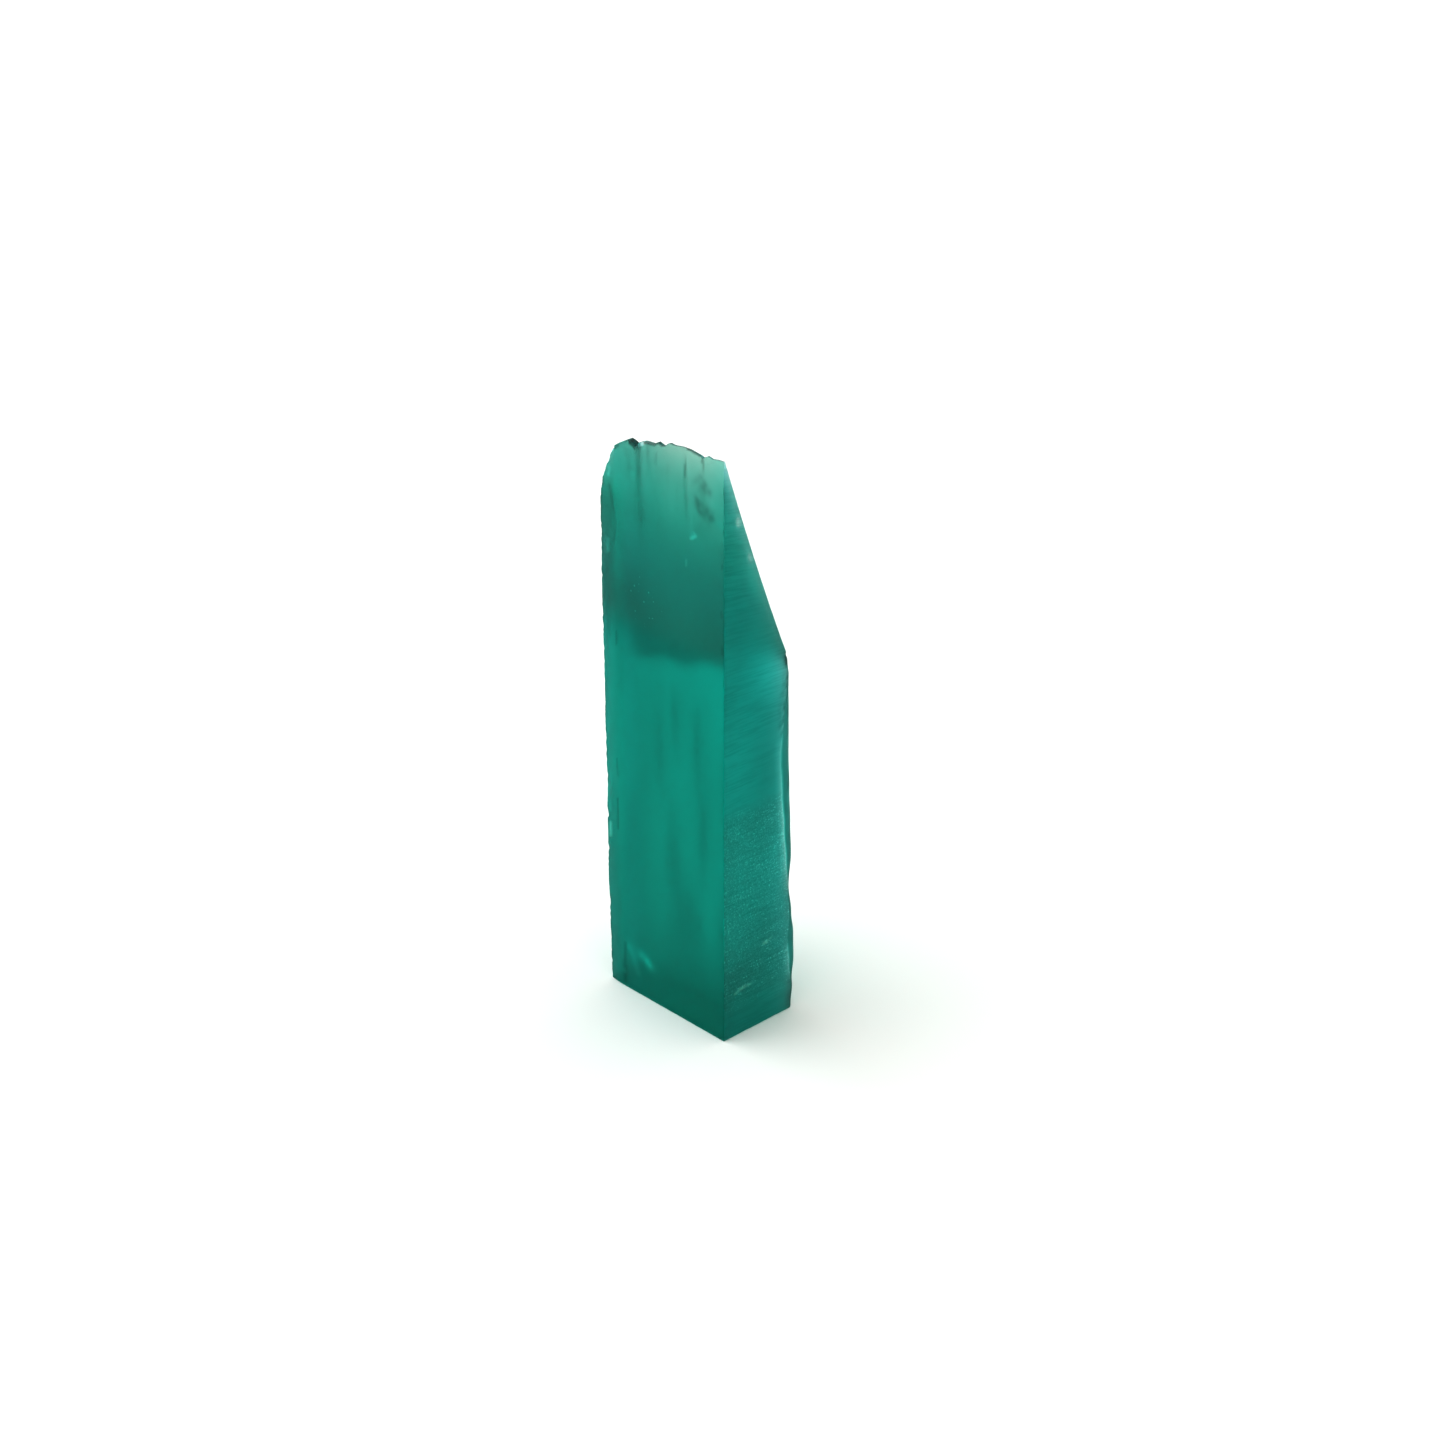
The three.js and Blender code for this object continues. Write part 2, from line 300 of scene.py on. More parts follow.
# The finish: what each skin of the crystal does to light. Much of its colour is painted light and shade,
# fitted to the main view, and it stays where it is painted when the crystal is seen from other sides.
finish = {
    "index": 1.577,
    "chalkIndex": 3,  # sets how white the worn edges are
    "chalkRoughness": 0.6,
    "densityPerMetre": 1000,
    "clearness": (0.2, 0.945, 0.93),  # 1 less this, times the density, is what a metre takes away
    "pale": (1, 1, 0.82),  # the colour that pale strokes tend to
    # colour that light keeps, roughness and tint of the gloss, for each region; the colours also carry
    # painted light and shade, setting how bright each face looks from the main view
    "skins": {
        "front": ((0.3, 0.45, 0.41), 0.3, (0.02, 0.6, 0.55)),
        "side": ((1, 0.94, 1), 0.9, (1, 1, 1)),
        "slope": ((0.7, 1, 1), 0.65, (0.3, 0.6, 0.55)),
        "base": ((0.3, 0.33, 0.32), 0.6, (0.3, 0.6, 0.55)),
        "rim": ((0.3, 0.4, 0.4), 0.3, (0.8, 1, 1)),
        "back": ((0.8, 1, 0.97), 1.0, (0.3, 0.6, 0.55)),
        "left": ((0.3, 1, 0.97), 1.0, (0.3, 0.6, 0.55)),
    },
    # height and the share of light kept, as painted light and shade fitted to the main view: the front near
    # the right face, and near the left side
    "frontRight": [(0, 0.6), (4, 0.45), (9, 0.75), (24, 0.75), (32, 0.7), (37, 1.1)],
    "frontLeft": [(0, 0.4), (9, 0.4), (14, 0.5), (24, 0.5), (28, 0.2), (34, 0.5), (37, 0.7)],
    "frontTurn": (2.5, 9.5),  # how far across the first gives way to the second
    "frontRed": [(0, 0.6), (4, 0.2), (8, 0.15), (28, 0.2), (34, 0.35), (40, 0.4)],
    "frontBlue": [(30, 1), (36, 0.85)],
    # the strip's share is more painted shade, darkest near a height of 34
    "stripShare": [(2, 0.85), (20, 1), (26, 1), (34, 0.45), (38, 1)],  # what the rough strip keeps of that
    # the sawn right face, near the front and near the back: painted light and shade, fitted to the main
    # view
    "sideFront": [(0, 0.5), (4, 0.5), (8, 0.7), (20, 0.65), (24, 0.55), (36, 0.85), (38, 0.45)],
    "sideBack": [(0, 0.45), (5, 0.45), (10, 0.6), (18, 0.4), (22, 0.4), (28, 0.85), (36, 1.3), (38, 0.55)],
    "sideTurn": (0.8, 4.2),
    # each mark below is across, height, half width, half height and the share of light that it takes; on
    # the slope they are painted shade in its furrows and pits
    "slopeShadeMarks": [
        (8.05, 37, 0.26, 2.0, 0.62), (8.5, 34, 0.4, 1.5, 0.3), (6.9, 38.6, 0.14, 0.9, 0.3),
        (9.0, 37.0, 0.14, 0.9, 0.35), (3.62, 38.4, 0.12, 0.7, 0.5), (3.95, 36.2, 0.12, 0.9, 0.45),
        (5.3, 37.9, 0.1, 0.6, 0.25), (1.95, 39.2, 0.07, 0.45, 0.6),
        (2.9, 34.6, 0.9, 0.5, 0.15), (1.3, 33.4, 0.7, 0.9, 0.2),
    ],
    "backMarks": [
        (9.3, 16.4, 0.45, 3.2, 0.3), (5.5, 18.6, 0.28, 3.0, 0.5), (5.1, 12.1, 0.36, 3.4, 0.45),
        (7.6, 19.2, 0.3, 2.6, 0.4), (2.7, 16.0, 0.25, 4.0, 0.35), (8.1, 9.5, 0.6, 3.0, 0.25),
        (6.6, 5.0, 1.2, 2.6, 0.3), (3.0, 5.4, 0.9, 2.0, 0.2),
    ],
    # strokes: half width, change of the light kept, how far toward colourless, and the line they follow. On
    # the front, the dark strokes near the top right are painted shade in pits, those near the left edge are
    # painted shade in nicks, and the pale stroke on the left chip low down is a painted glint.
    "frontStrokes": [
        (0.34, -0.55, 0, [(2, 38.3), (1.4, 37.75)]),
        (0.36, -0.2, 0, [(2.4, 38), (2.25, 37.6)]),
        (0.34, -0.45, 0, [(2.35, 36.95), (2.05, 36.5)]),
        (0.48, -0.52, 0, [(1.85, 36.5), (1.15, 36.2)]),
        (0.09, -0.3, 0, [(3.4, 38.85), (3.4, 38.15)]),
        (0.1, -0.5, 0, [(1.8, 39.9), (1.9, 39.5)]),
        (0.1, -0.3, 0, [(5.9, 38.9), (5.95, 38.2)]),
        (0.12, -0.45, 0, [(10.2, 35.6), (10.05, 35), (9.75, 33.9), (9.7, 32.7), (9.85, 32)]),
        (0.08, -0.6, 0, [(9.75, 25.85), (9.75, 25)]),
        (0.08, -0.5, 0, [(9.95, 16.8), (9.85, 15.6)]),
        (0.09, -0.6, 0, [(9.95, 13.9), (9.95, 11.7)]),
        (0.13, -0.55, 0, [(9.4, 3.3), (9.45, 2)]),
        (0.3, -0.5, 0, [(9.45, 1.8), (9.5, 0.5)]),
        (0.07, -0.35, 0, [(0.15, 33.4), (0.15, 33.2)]),
        (0.07, -0.3, 0, [(0.25, 30.3), (0.2, 30)]),
        (0.09, -0.3, 0, [(0.15, 28), (0.15, 27.6)]),
        (0.1, 0.1, 0.36, [(2.9, 34.3), (2.45, 34.6)]),
        (0.07, 0, 0.2, [(2.6, 34.8), (2.4, 34.6)]),
        (0.07, 0, 0.25, [(3.3, 32.75), (3.3, 32.4)]),
        (0.14, 0.1, 0.25, [(10.2, 36.8), (10.3, 36.3)]),
        (0.15, 0.2, 0.12, [(10.45, 31.9), (10.5, 31.2)]),
        (0.12, 0, 0.4, [(10.7, 11.8), (10.75, 10.9)]),
        (0.36, 0.9, 0, [(7.75, 3.05), (7.4, 2.9), (7, 2.6)]),
        (0.2, 0.6, 0, [(7.3, 2.85), (7.05, 2.65)]),
        (0.3, 0.45, 0, [(9, 3.15), (8.6, 2.6), (8.2, 1.6)]),
        (0.5, 0.2, 0, [(9, 3.4), (7.9, 3), (6.6, 2.6)]),
    ],
    # the same on the sawn right face, as depth and height; the dark one near the kink is painted shade at a
    # chip
    "sideStrokes": [
        (0.17, 0.3, 1, [(1.15, 36.05), (1.2, 35.75)]),
        (0.15, 0.3, 0.9, [(2.1, 33.45), (2.2, 33.2)]),
        (0.09, 0.8, 0.7, [(3.5, 5.95), (3.85, 5.95)]),
        (0.08, 0.6, 0.4, [(4.1, 6.05), (4.2, 6.05)]),
        (0.08, 0.8, 0.45, [(1, 3.2), (1.5, 3.35)]),
        (0.09, 0.8, 0.7, [(1.5, 3.35), (1.75, 3.4)]),
        (0.07, 0.6, 0.35, [(1.9, 3.4), (2.4, 3.35)]),
        (0.16, -0.6, 0, [(5.25, 25.8), (5.3, 25.2)]),
    ],
    # height and strength of the painted highlight along the worn edge beside the sawn right face
    "streak": [
        (2, 0), (3.2, 0.6), (4.4, 0.7), (5.4, 0), (8.2, 0), (9.8, 0.7),
        (12, 1), (15, 1), (16.3, 0.7), (19.6, 0.45), (20.8, 0),
    ],
    "streakWidth": 0.26,
    "streakHaze": (0.75, 0.42, 0.6),  # width and strength of its softer side, and how white that is
    "strokeSpan": 4,  # a stroke stays within this height of its first point
    # dark strokes wider than this come out uneven, from the least to the most of their strength
    "unevenStrokes": {"wider": 0.15, "least": 0.4, "most": 1.2, "middle": 0.9, "swing": 0.9, "grain": 2.3},
    # the front's left, darker there as painted shade, and the share of red and blue kept in it
    "leftShadeHue": {"from": 8.3, "over": 1.6, "top": 37, "fade": 2, "red": 0.04, "blue": 0.9},
    "topCorner": {"red": 0.6, "reach": 2.2, "below": 36},  # less red at the top, near the right face
    "frontGloss": {"from": 26, "over": 2, "red": 0.35},  # its colour goes above this height
    "stripLook": {"from": 9.6, "over": 0.5},  # where the rough strip's own look takes over
    # painted shade: a dark line along the front's left silhouette, uneven along its height
    "leftEdge": {"shade": 0.7, "top": 36.4, "reach": 0.2, "middle": 0.7, "swing": 1.6, "grain": 1.1},
    "sideBlue": {"near": 1.05, "far": 0.95, "over": 5},  # the share of blue from the front to the back
    "highBlue": {"blue": 0.86, "from": 29, "over": 6},
    "haze": {"width": 1.4, "from": 29, "over": 3},  # pale, beside the slope, above this height
    "crumbled": {  # the mottled margin of the right face above its worn edge
        "from": 20, "to": 25, "reach": 0.8, "strength": 0.7, "white": 0.5, "mean": 0.35, "whiteOver": 0.05,
    },
    # the slope, darker toward the kink as painted shade for the longer way light takes through the wedge:
    # what it keeps of the light just above the kink, how that comes on, its most shade
    "slope": {"foot": 0.45, "curve": 1.3, "darkest": 0.95, "topRough": 0.95, "topShare": 6},
    "slopeLeft": {"red": 0.55, "from": 5.5, "over": 2.5},
    # broad and fine mottling of the left side and its white specks: strength, and the noise it starts at
    "leftMottle": {"broad": (0.3, 0), "fine": (0.25, 0.1), "white": (0.25, 0.45)},
    "kinkFade": 1.0,  # how far below the kink the slope's painted shade still fades
    "backMottle": (0.12, 0.3),
    # the rounded corner behind the worn edge, darkened as painted shade: what it keeps, its width and how
    # ragged it is
    "cornerBand": {"keep": 0.3, "width": 0.75, "ragged": 0.35, "end": 1.3, "pale": 0.06},
    # across, from here to here, how far down from the rim, what it keeps, above 1 for a glint. The dark
    # ones are painted shade on the chip's flank, in a notch and along the rim's top edge, and the glint is
    # a painted highlight.
    "rimMarks": [
        (7.74, 8.3, 0.22, 0.12), (7.4, 7.74, 0.4, 0.6), (7.0, 7.45, 0.2, 2), (5.3, 6.05, 0.14, 0.45),
        (2.0, 3.2, 0.06, 0.45), (3.2, 5.3, 0.05, 0.7), (6.05, 7.0, 0.08, 0.45), (8.1, 8.6, 0.1, 0.3),
    ],
}


def blended(first, second, turn, place, z):  # one profile giving way to another across a face
    start, end = finish[turn]
    share = eased((place - start) / (end - start))
    return mix(along(finish[first], 1, z), along(finish[second], 1, z), share)


def offLine(points, a, b):  # how far a place is from a line of points
    nearest = 1e9
    for (a0, b0), (a1, b1) in zip(points, points[1:]):
        t = ((a - a0) * (a1 - a0) + (b - b0) * (b1 - b0)) / ((a1 - a0) ** 2 + (b1 - b0) ** 2)
        t = clamped(t)
        nearest = min(nearest, math.hypot(a - mix(a0, a1, t), b - mix(b0, b1, t)))
    return nearest


def stroked(strokes, a, b):  # what the strokes leave of the light here, and how colourless they make it
    uneven = finish["unevenStrokes"]
    keep, white = 1, 0
    for halfWidth, change, toWhite, points in strokes:
        if abs(b - points[0][1]) > finish["strokeSpan"]:
            continue
        here = bell(offLine(points, a, b) / halfWidth)
        if change < 0 and halfWidth > uneven["wider"]:
            grain = cloud(a * uneven["grain"], b * uneven["grain"], 6.6)
            here *= clamped(uneven["middle"] + uneven["swing"] * grain, uneven["least"], uneven["most"])
        keep *= 1 + change * here
        white = max(white, toWhite * here)
    return keep, white


# Each function below dresses the plain skin of one face, and all are called alike. Light kept is in "keep",
# a pull toward colourless in "pale" and "clear", and white wear in "chalk". Much of "keep" is painted light
# and shade, and "clear" also carries painted highlights.
def dressFront(skin, across, depth, z):
    dark, corner, shine = finish["leftShadeHue"], finish["topCorner"], finish["frontGloss"]
    # the front's left, in painted shade, with its own red and blue
    inLeftShade = eased((across - dark["from"]) / dark["over"]) * eased((dark["top"] - z) / dark["fade"])
    cornerRed = mix(corner["red"], 1, eased(across / corner["reach"] + max(0, corner["below"] - z)))
    green, blue = skin["tint"][1:]
    red = mix(along(finish["frontRed"], 1, z) * cornerRed, dark["red"], inLeftShade)
    blue = blue * along(finish["frontBlue"], 1, z) * mix(1, dark["blue"], inLeftShade)
    skin["tint"] = (red, green, blue)
    glossRed, glossGreen, glossBlue = skin["gloss"]
    glossRed = mix(glossRed, shine["red"], eased((z - shine["from"]) / shine["over"]))
    skin["gloss"] = (glossRed, glossGreen, glossBlue)
    strip, edge = finish["stripLook"], finish["leftEdge"]
    onStrip = eased((across - strip["from"]) / strip["over"])
    # painted shade along the front's left edge, uneven along its height
    worn = eased(1 - (leftReach(0, z) - across) / edge["reach"]) * eased(edge["top"] - z)
    worn *= clamped(edge["middle"] + edge["swing"] * cloud(2.2, 5.5, z * edge["grain"]))
    drawn, skin["pale"] = stroked(finish["frontStrokes"], across, z)
    # painted light and shade across the front, fitted to the main view
    skin["keep"] = blended("frontRight", "frontLeft", "frontTurn", across, z)
    skin["keep"] *= mix(1, along(finish["stripShare"], 1, z), onStrip)
    skin["keep"] *= drawn * (1 - edge["shade"] * worn)


def dressSide(skin, across, depth, z):
    wide, high = finish["sideBlue"], finish["highBlue"]
    red, green, blue = skin["tint"]
    blue = blue * mix(wide["near"], wide["far"], eased(depth / wide["over"]))
    blue = blue * mix(1, high["blue"], eased((z - high["from"]) / high["over"]))
    skin["tint"] = (red, green, blue)
    drawn, skin["pale"] = stroked(finish["sideStrokes"], depth, z)
    # painted light and shade over the sawn right face, with the strokes
    skin["keep"] = blended("sideFront", "sideBack", "sideTurn", depth, z) * drawn
    skin["chalk"] = skin["pale"]
    if z > kinkHeight(across):
        haze = finish["haze"]
        skin["clear"] = eased(1 - (slopeDepth(z) - depth) / haze["width"])
        skin["clear"] *= eased((z - haze["from"]) / haze["over"])
    else:
        backEdgeWearAndHighlight(skin, depth, z)


def backEdgeWearAndHighlight(skin, depth, z):  # the painted highlight along the worn edge of the right face, and the crumbled margin above it
    off = backDepth(0, z) - depth
    hazeWidth, hazeShare, hazeWhite = finish["streakHaze"]
    core = eased(1 - off / finish["streakWidth"])
    haze = hazeShare * eased(1 - off / hazeWidth)
    streak = along(finish["streak"], 1, z)
    # painted highlight: the skin goes colourless along the worn edge
    skin["clear"] = streak * max(core, haze)
    crumble = finish["crumbled"]
    grains = cloud(depth * 3.5, 7.7, z * 2.2) + 0.4 * cloud(depth * 8, 1.1, z * 6)
    margin = eased(1 - off / crumble["reach"]) * eased(z - crumble["from"]) * eased(crumble["to"] - z)
    skin["keep"] *= 1 + crumble["strength"] * margin * (grains - crumble["mean"])
    white = margin * crumble["white"] * max(0, grains - crumble["whiteOver"])
    skin["chalk"] = max(skin["chalk"], streak * max(core, hazeWhite * haze), white)


def dressSlope(skin, across, depth, z):
    slope, left = finish["slope"], finish["slopeLeft"]
    down = (crystal["height"] - z) / (crystal["height"] - kinkHeight(across))
    # painted shade, darker toward the kink where the wedge is thick, and in the furrows
    skin["keep"] = mix(1, slope["foot"], min(1, down) ** slope["curve"])
    skin["keep"] *= 1 - min(slope["darkest"], leaning(finish["slopeShadeMarks"], across, z))
    skin["rough"] = mix(slope["topRough"], skin["rough"], min(1, down * slope["topShare"]))
    red, green, blue = skin["tint"]
    leftRed = mix(1, left["red"], clamped((across - left["from"]) / left["over"]))
    skin["tint"] = (red * leftRed, green, blue)
    # painted highlights: each spark in the slope keeps all its light
    for middle, height, halfWidth in (spark[:3] for spark in crystal["sparks"]):
        if abs(across - middle) < halfWidth and abs(z - height) < halfWidth:
            skin["keep"], skin["rough"] = 1, 1


def dressLeft(skin, across, depth, z):
    mottle = finish["leftMottle"]

    def mottled(kind, place):
        strength, start = mottle[kind]
        return strength * max(0, place - start)

    skin["keep"] *= 1 - mottled("broad", cloud(depth * 0.9, z * 0.1, 3.1))
    skin["keep"] *= 1 - mottled("fine", cloud(depth * 1.9, z * 0.25, 5.7))
    skin["chalk"] = mottled("white", cloud(depth * 3.1, z * 2.2, 1.9))


def dressBack(skin, across, depth, z):
    band, slope = finish["cornerBand"], finish["slope"]
    mottle, lift = finish["backMottle"]
    # painted shade just below the kink, carrying on the slope's
    skin["keep"] = mix(slope["foot"], 1, eased((kinkHeight(across) - z) / finish["kinkFade"]))
    skin["keep"] *= 1 - min(slope["darkest"], bumps(finish["backMarks"], across, z))
    skin["keep"] *= 1 - mottle * max(0, lift + cloud(across * 1.3, z * 0.09, 4.4))
    # painted shade in a band along the rounded corner, and the worn edge's painted highlight beside it
    ragged = band["width"] + band["ragged"] * cloud(across * 2, 3.3, z * 0.7)
    skin["keep"] *= mix(1, band["keep"], eased(band["end"] - across / ragged))
    skin["clear"] = along(finish["streak"], 1, z) * eased(1 - across / band["pale"])


def markRim(skin, across, z):  # painted shade in notches and painted glints just under the broken edge
    for near, far, reach, share in finish["rimMarks"]:
        if near < across < far and atRim(crystal["rim"], across) - z < reach:
            skin["keep"] *= min(1, share)
            skin["clear"] = max(skin["clear"], share - 1)


dressing = {
    "front": dressFront,
    "side": dressSide,
    "slope": dressSlope,
    "left": dressLeft,
    "back": dressBack,
}


def skinOf(region, across, depth, z):  # tint, roughness, gloss and white wear at one place; the tint carries painted light and shade
    tint, rough, gloss = finish["skins"][region]
    skin = {"tint": tint, "rough": rough, "gloss": gloss, "keep": 1, "pale": 0, "clear": 0, "chalk": 0}
    if region in dressing:
        dressing[region](skin, across, depth, z)
    if region in ("front", "slope", "rim"):
        markRim(skin, across, z)
    kept = [min(1, skin["keep"] * share) for share in skin["tint"]]
    pulled = [mix(share, white, skin["pale"]) for share, white in zip(kept, finish["pale"])]
    return [mix(share, 1, skin["clear"]) for share in pulled], skin["rough"], skin["gloss"], skin["chalk"]


def paintSkin(mesh, regions, right, front, base):
    tints, roughs, glosses, chalks, sawn, known = [], [], [], [], [], {}
    places = [(right - v.co.x / mm, v.co.y / mm - front, v.co.z / mm - base) for v in mesh.vertices]
    for face, region in zip(mesh.polygons, regions):
        for n in face.vertices:
            if (n, region) not in known:
                known[n, region] = skinOf(region, *places[n])
            tint, rough, gloss, chalk = known[n, region]
            chalks.append(chalk)
            tints += [*tint, 1]
            roughs.append(rough)
            glosses += [*gloss, 1]
            sawn.append(1.0 if region == "side" else 0.0)
    mesh.attributes.new("tint", "FLOAT_COLOR", "CORNER").data.foreach_set("color", tints)
    mesh.attributes.new("gloss", "FLOAT_COLOR", "CORNER").data.foreach_set("color", glosses)
    mesh.attributes.new("rough", "FLOAT", "CORNER").data.foreach_set("value", roughs)
    mesh.attributes.new("chalk", "FLOAT", "CORNER").data.foreach_set("value", chalks)
    mesh.attributes.new("sawn", "FLOAT", "CORNER").data.foreach_set("value", sawn)


# What the saw left on the right face, in millimetres.
sawing = {
    "fanFrom": 17,  # the lines are level up to here and then dip toward the back
    "fanOver": 15.4,
    "fanDip": 0.175,
    # how fine each grain is along the lines and across them, in each millimetre, and its noise
    "lines": {"scale": (0.5, 8), "detail": 3, "seed": 2.5},
    "patches": {"scale": (0.3, 0.35), "detail": 1, "seed": 7.5},  # where lines come and go
    "frost": {"scale": (11, 11), "detail": 1, "seed": 4.5},
    # the noise at which each mark starts and the noise at which it is full
    "lineRange": (0.42, 0.62),
    "patchRange": (0.2, 0.6),
    "dullRange": (0.6, 0.45),
    "speckRange": (0.64, 0.7),
    "betweenLines": (0.52, 0.42),  # specks keep clear of the lines
    "frostTop": 16.2,
    "frostFade": 0.5,  # how far above and below that height the frost fades
    "frostFoot": 1.5,
    "frostRise": 2,
    "lineShade": 0.17,
    "frostShade": 0.25,
    "frostWhite": 0.05,
    "speckGain": 1.6,
    "speckWhite": 0.4,
}

# Pale specks scattered in one place just under the front, brightened as painted sparkle.
specks = {
    "across": 7.2,
    "height": 28.9,
    "spread": 1.9,
    "core": 0.4,  # the part of that spread, squared, in which they are all at full strength
    "perMm": 2.4,
    "size": 0.075,  # of the largest
    "share": 0.35,  # of the places that could hold one
    "behindFront": (0.5, 0.3),  # they die out from the second depth to the first
    "gain": 1.4,
}


# Short ways to add nodes to a material.
def feed(tree, value, socket):
    if isinstance(value, (int, float)):
        socket.default_value = value
    else:
        tree.links.new(value, socket)


def combine(tree, x, y, z=0):
    node = tree.nodes.new("ShaderNodeCombineXYZ")
    for value, socket in zip((x, y, z), node.inputs):
        feed(tree, value, socket)
    return node.outputs[0]


def calc(tree, operation, a, b=0, c=0, limit=False):
    node = tree.nodes.new("ShaderNodeMath")
    node.operation = operation
    node.use_clamp = limit
    for value, socket in zip((a, b, c), node.inputs):
        feed(tree, value, socket)
    return node.outputs[0]


def between(tree, value, low, high):  # 0 at low, 1 at high
    return calc(tree, "DIVIDE", calc(tree, "SUBTRACT", value, low), high - low, limit=True)


def speckle(tree, depth, course, grain):
    lengthwise, crosswise = grain["scale"]
    x = calc(tree, "MULTIPLY", depth, lengthwise)
    y = calc(tree, "MULTIPLY", course, crosswise)
    node = tree.nodes.new("ShaderNodeTexNoise")
    node.inputs["Scale"].default_value = 1
    node.inputs["Detail"].default_value = grain["detail"]
    tree.links.new(combine(tree, x, y, grain["seed"]), node.inputs["Vector"])
    return node.outputs["Fac"]


def attribute(tree, name, output):
    node = tree.nodes.new("ShaderNodeAttribute")
    node.attribute_name = name
    return node.outputs[output]


def sawMarks(tree, depth, height):  # what the saw marks leave of the light, and the white wear with theirs
    fan = between(tree, height, sawing["fanFrom"], sawing["fanFrom"] + sawing["fanOver"])
    dip = calc(tree, "MULTIPLY", calc(tree, "POWER", fan, 2), sawing["fanDip"])
    course = calc(tree, "MULTIPLY_ADD", dip, depth, height)
    line = speckle(tree, depth, course, sawing["lines"])
    patchy = speckle(tree, depth, course, sawing["patches"])
    frost = speckle(tree, depth, course, sawing["frost"])

    lines = between(tree, line, *sawing["lineRange"])
    lines = calc(tree, "MULTIPLY", lines, between(tree, patchy, *sawing["patchRange"]))
    top, fade, foot = sawing["frostTop"], sawing["frostFade"], sawing["frostFoot"]
    belowTop = between(tree, height, top + fade, top - fade)
    aboveFoot = between(tree, height, foot, foot + sawing["frostRise"])
    frosted = calc(tree, "MULTIPLY", belowTop, aboveFoot)
    dull = calc(tree, "MULTIPLY", frosted, between(tree, frost, *sawing["dullRange"]))
    speck = calc(tree, "MULTIPLY", frosted, between(tree, frost, *sawing["speckRange"]))
    speck = calc(tree, "MULTIPLY", speck, between(tree, line, *sawing["betweenLines"]))

    sawn = attribute(tree, "sawn", "Fac")
    shade = calc(tree, "MULTIPLY", lines, sawing["lineShade"])
    shade = calc(tree, "MULTIPLY_ADD", dull, sawing["frostShade"], shade)
    keep = calc(tree, "SUBTRACT", 1, calc(tree, "MULTIPLY", shade, sawn))
    keep = calc(tree, "MULTIPLY_ADD", calc(tree, "MULTIPLY", speck, sawn), sawing["speckGain"], keep)
    white = calc(tree, "MULTIPLY", speck, sawing["speckWhite"])
    white = calc(tree, "MULTIPLY_ADD", frosted, sawing["frostWhite"], white)
    return keep, calc(tree, "MULTIPLY_ADD", white, sawn, attribute(tree, "chalk", "Fac"))


def paleSpecks(tree, across, depth, height):  # 1 in each speck
    perMm, spread = specks["perMm"], specks["spread"] ** 2
    x = calc(tree, "MULTIPLY", across, perMm)
    y = calc(tree, "MULTIPLY", height, perMm)
    cells = tree.nodes.new("ShaderNodeTexVoronoi")
    cells.voronoi_dimensions = "2D"
    cells.inputs["Scale"].default_value = 1
    tree.links.new(combine(tree, x, y), cells.inputs["Vector"])
    chosen = tree.nodes.new("ShaderNodeSeparateColor")
    tree.links.new(cells.outputs["Color"], chosen.inputs[0])
    size = calc(tree, "MULTIPLY", chosen.outputs["Green"], specks["size"] * perMm)
    dot = calc(tree, "LESS_THAN", cells.outputs["Distance"], size)
    dot = calc(tree, "MULTIPLY", dot, calc(tree, "LESS_THAN", chosen.outputs["Red"], specks["share"]))
    away = calc(tree, "POWER", calc(tree, "SUBTRACT", across, specks["across"]), 2)
    away = calc(tree, "ADD", away, calc(tree, "POWER", calc(tree, "SUBTRACT", height, specks["height"]), 2))
    dot = calc(tree, "MULTIPLY", dot, between(tree, away, spread, specks["core"] * spread))
    return calc(tree, "MULTIPLY", dot, between(tree, depth, *specks["behindFront"]))


def emeraldMaterial(right, front, base):
    material = bpy.data.materials.new("clearEmerald")
    material.use_nodes = True
    tree = material.node_tree
    tree.nodes.clear()

    output = tree.nodes.new("ShaderNodeOutputMaterial")
    skin = tree.nodes.new("ShaderNodeBsdfPrincipled")
    skin.inputs["Transmission Weight"].default_value = 1
    skin.inputs["IOR"].default_value = finish["index"]
    skin.inputs["Coat IOR"].default_value = finish["chalkIndex"]
    skin.inputs["Coat Roughness"].default_value = finish["chalkRoughness"]
    absorb = tree.nodes.new("ShaderNodeVolumeAbsorption")
    absorb.inputs["Color"].default_value = (*finish["clearness"], 1)
    absorb.inputs["Density"].default_value = finish["densityPerMetre"]
    tree.links.new(skin.outputs["BSDF"], output.inputs["Surface"])
    tree.links.new(absorb.outputs["Volume"], output.inputs["Volume"])
    tree.links.new(attribute(tree, "gloss", "Color"), skin.inputs["Specular Tint"])
    tree.links.new(attribute(tree, "rough", "Fac"), skin.inputs["Roughness"])

    place = tree.nodes.new("ShaderNodeTexCoord")
    axes = tree.nodes.new("ShaderNodeSeparateXYZ")
    tree.links.new(place.outputs["Object"], axes.inputs[0])
    x, y, z = (calc(tree, "DIVIDE", axes.outputs[axis], mm) for axis in "XYZ")
    across = calc(tree, "SUBTRACT", right, x)
    depth = calc(tree, "SUBTRACT", y, front)
    height = calc(tree, "SUBTRACT", z, base)
    keep, white = sawMarks(tree, depth, height)
    # the pale specks add painted sparkle
    keep = calc(tree, "MULTIPLY_ADD", paleSpecks(tree, across, depth, height), specks["gain"], keep)
    tinted = tree.nodes.new("ShaderNodeVectorMath")
    tinted.operation = "SCALE"
    tree.links.new(attribute(tree, "tint", "Color"), tinted.inputs[0])
    tree.links.new(keep, tinted.inputs["Scale"])
    tree.links.new(tinted.outputs[0], skin.inputs["Base Color"])
    tree.links.new(white, skin.inputs["Coat Weight"])  # a coat only where the skin is worn or frosted white
    return material


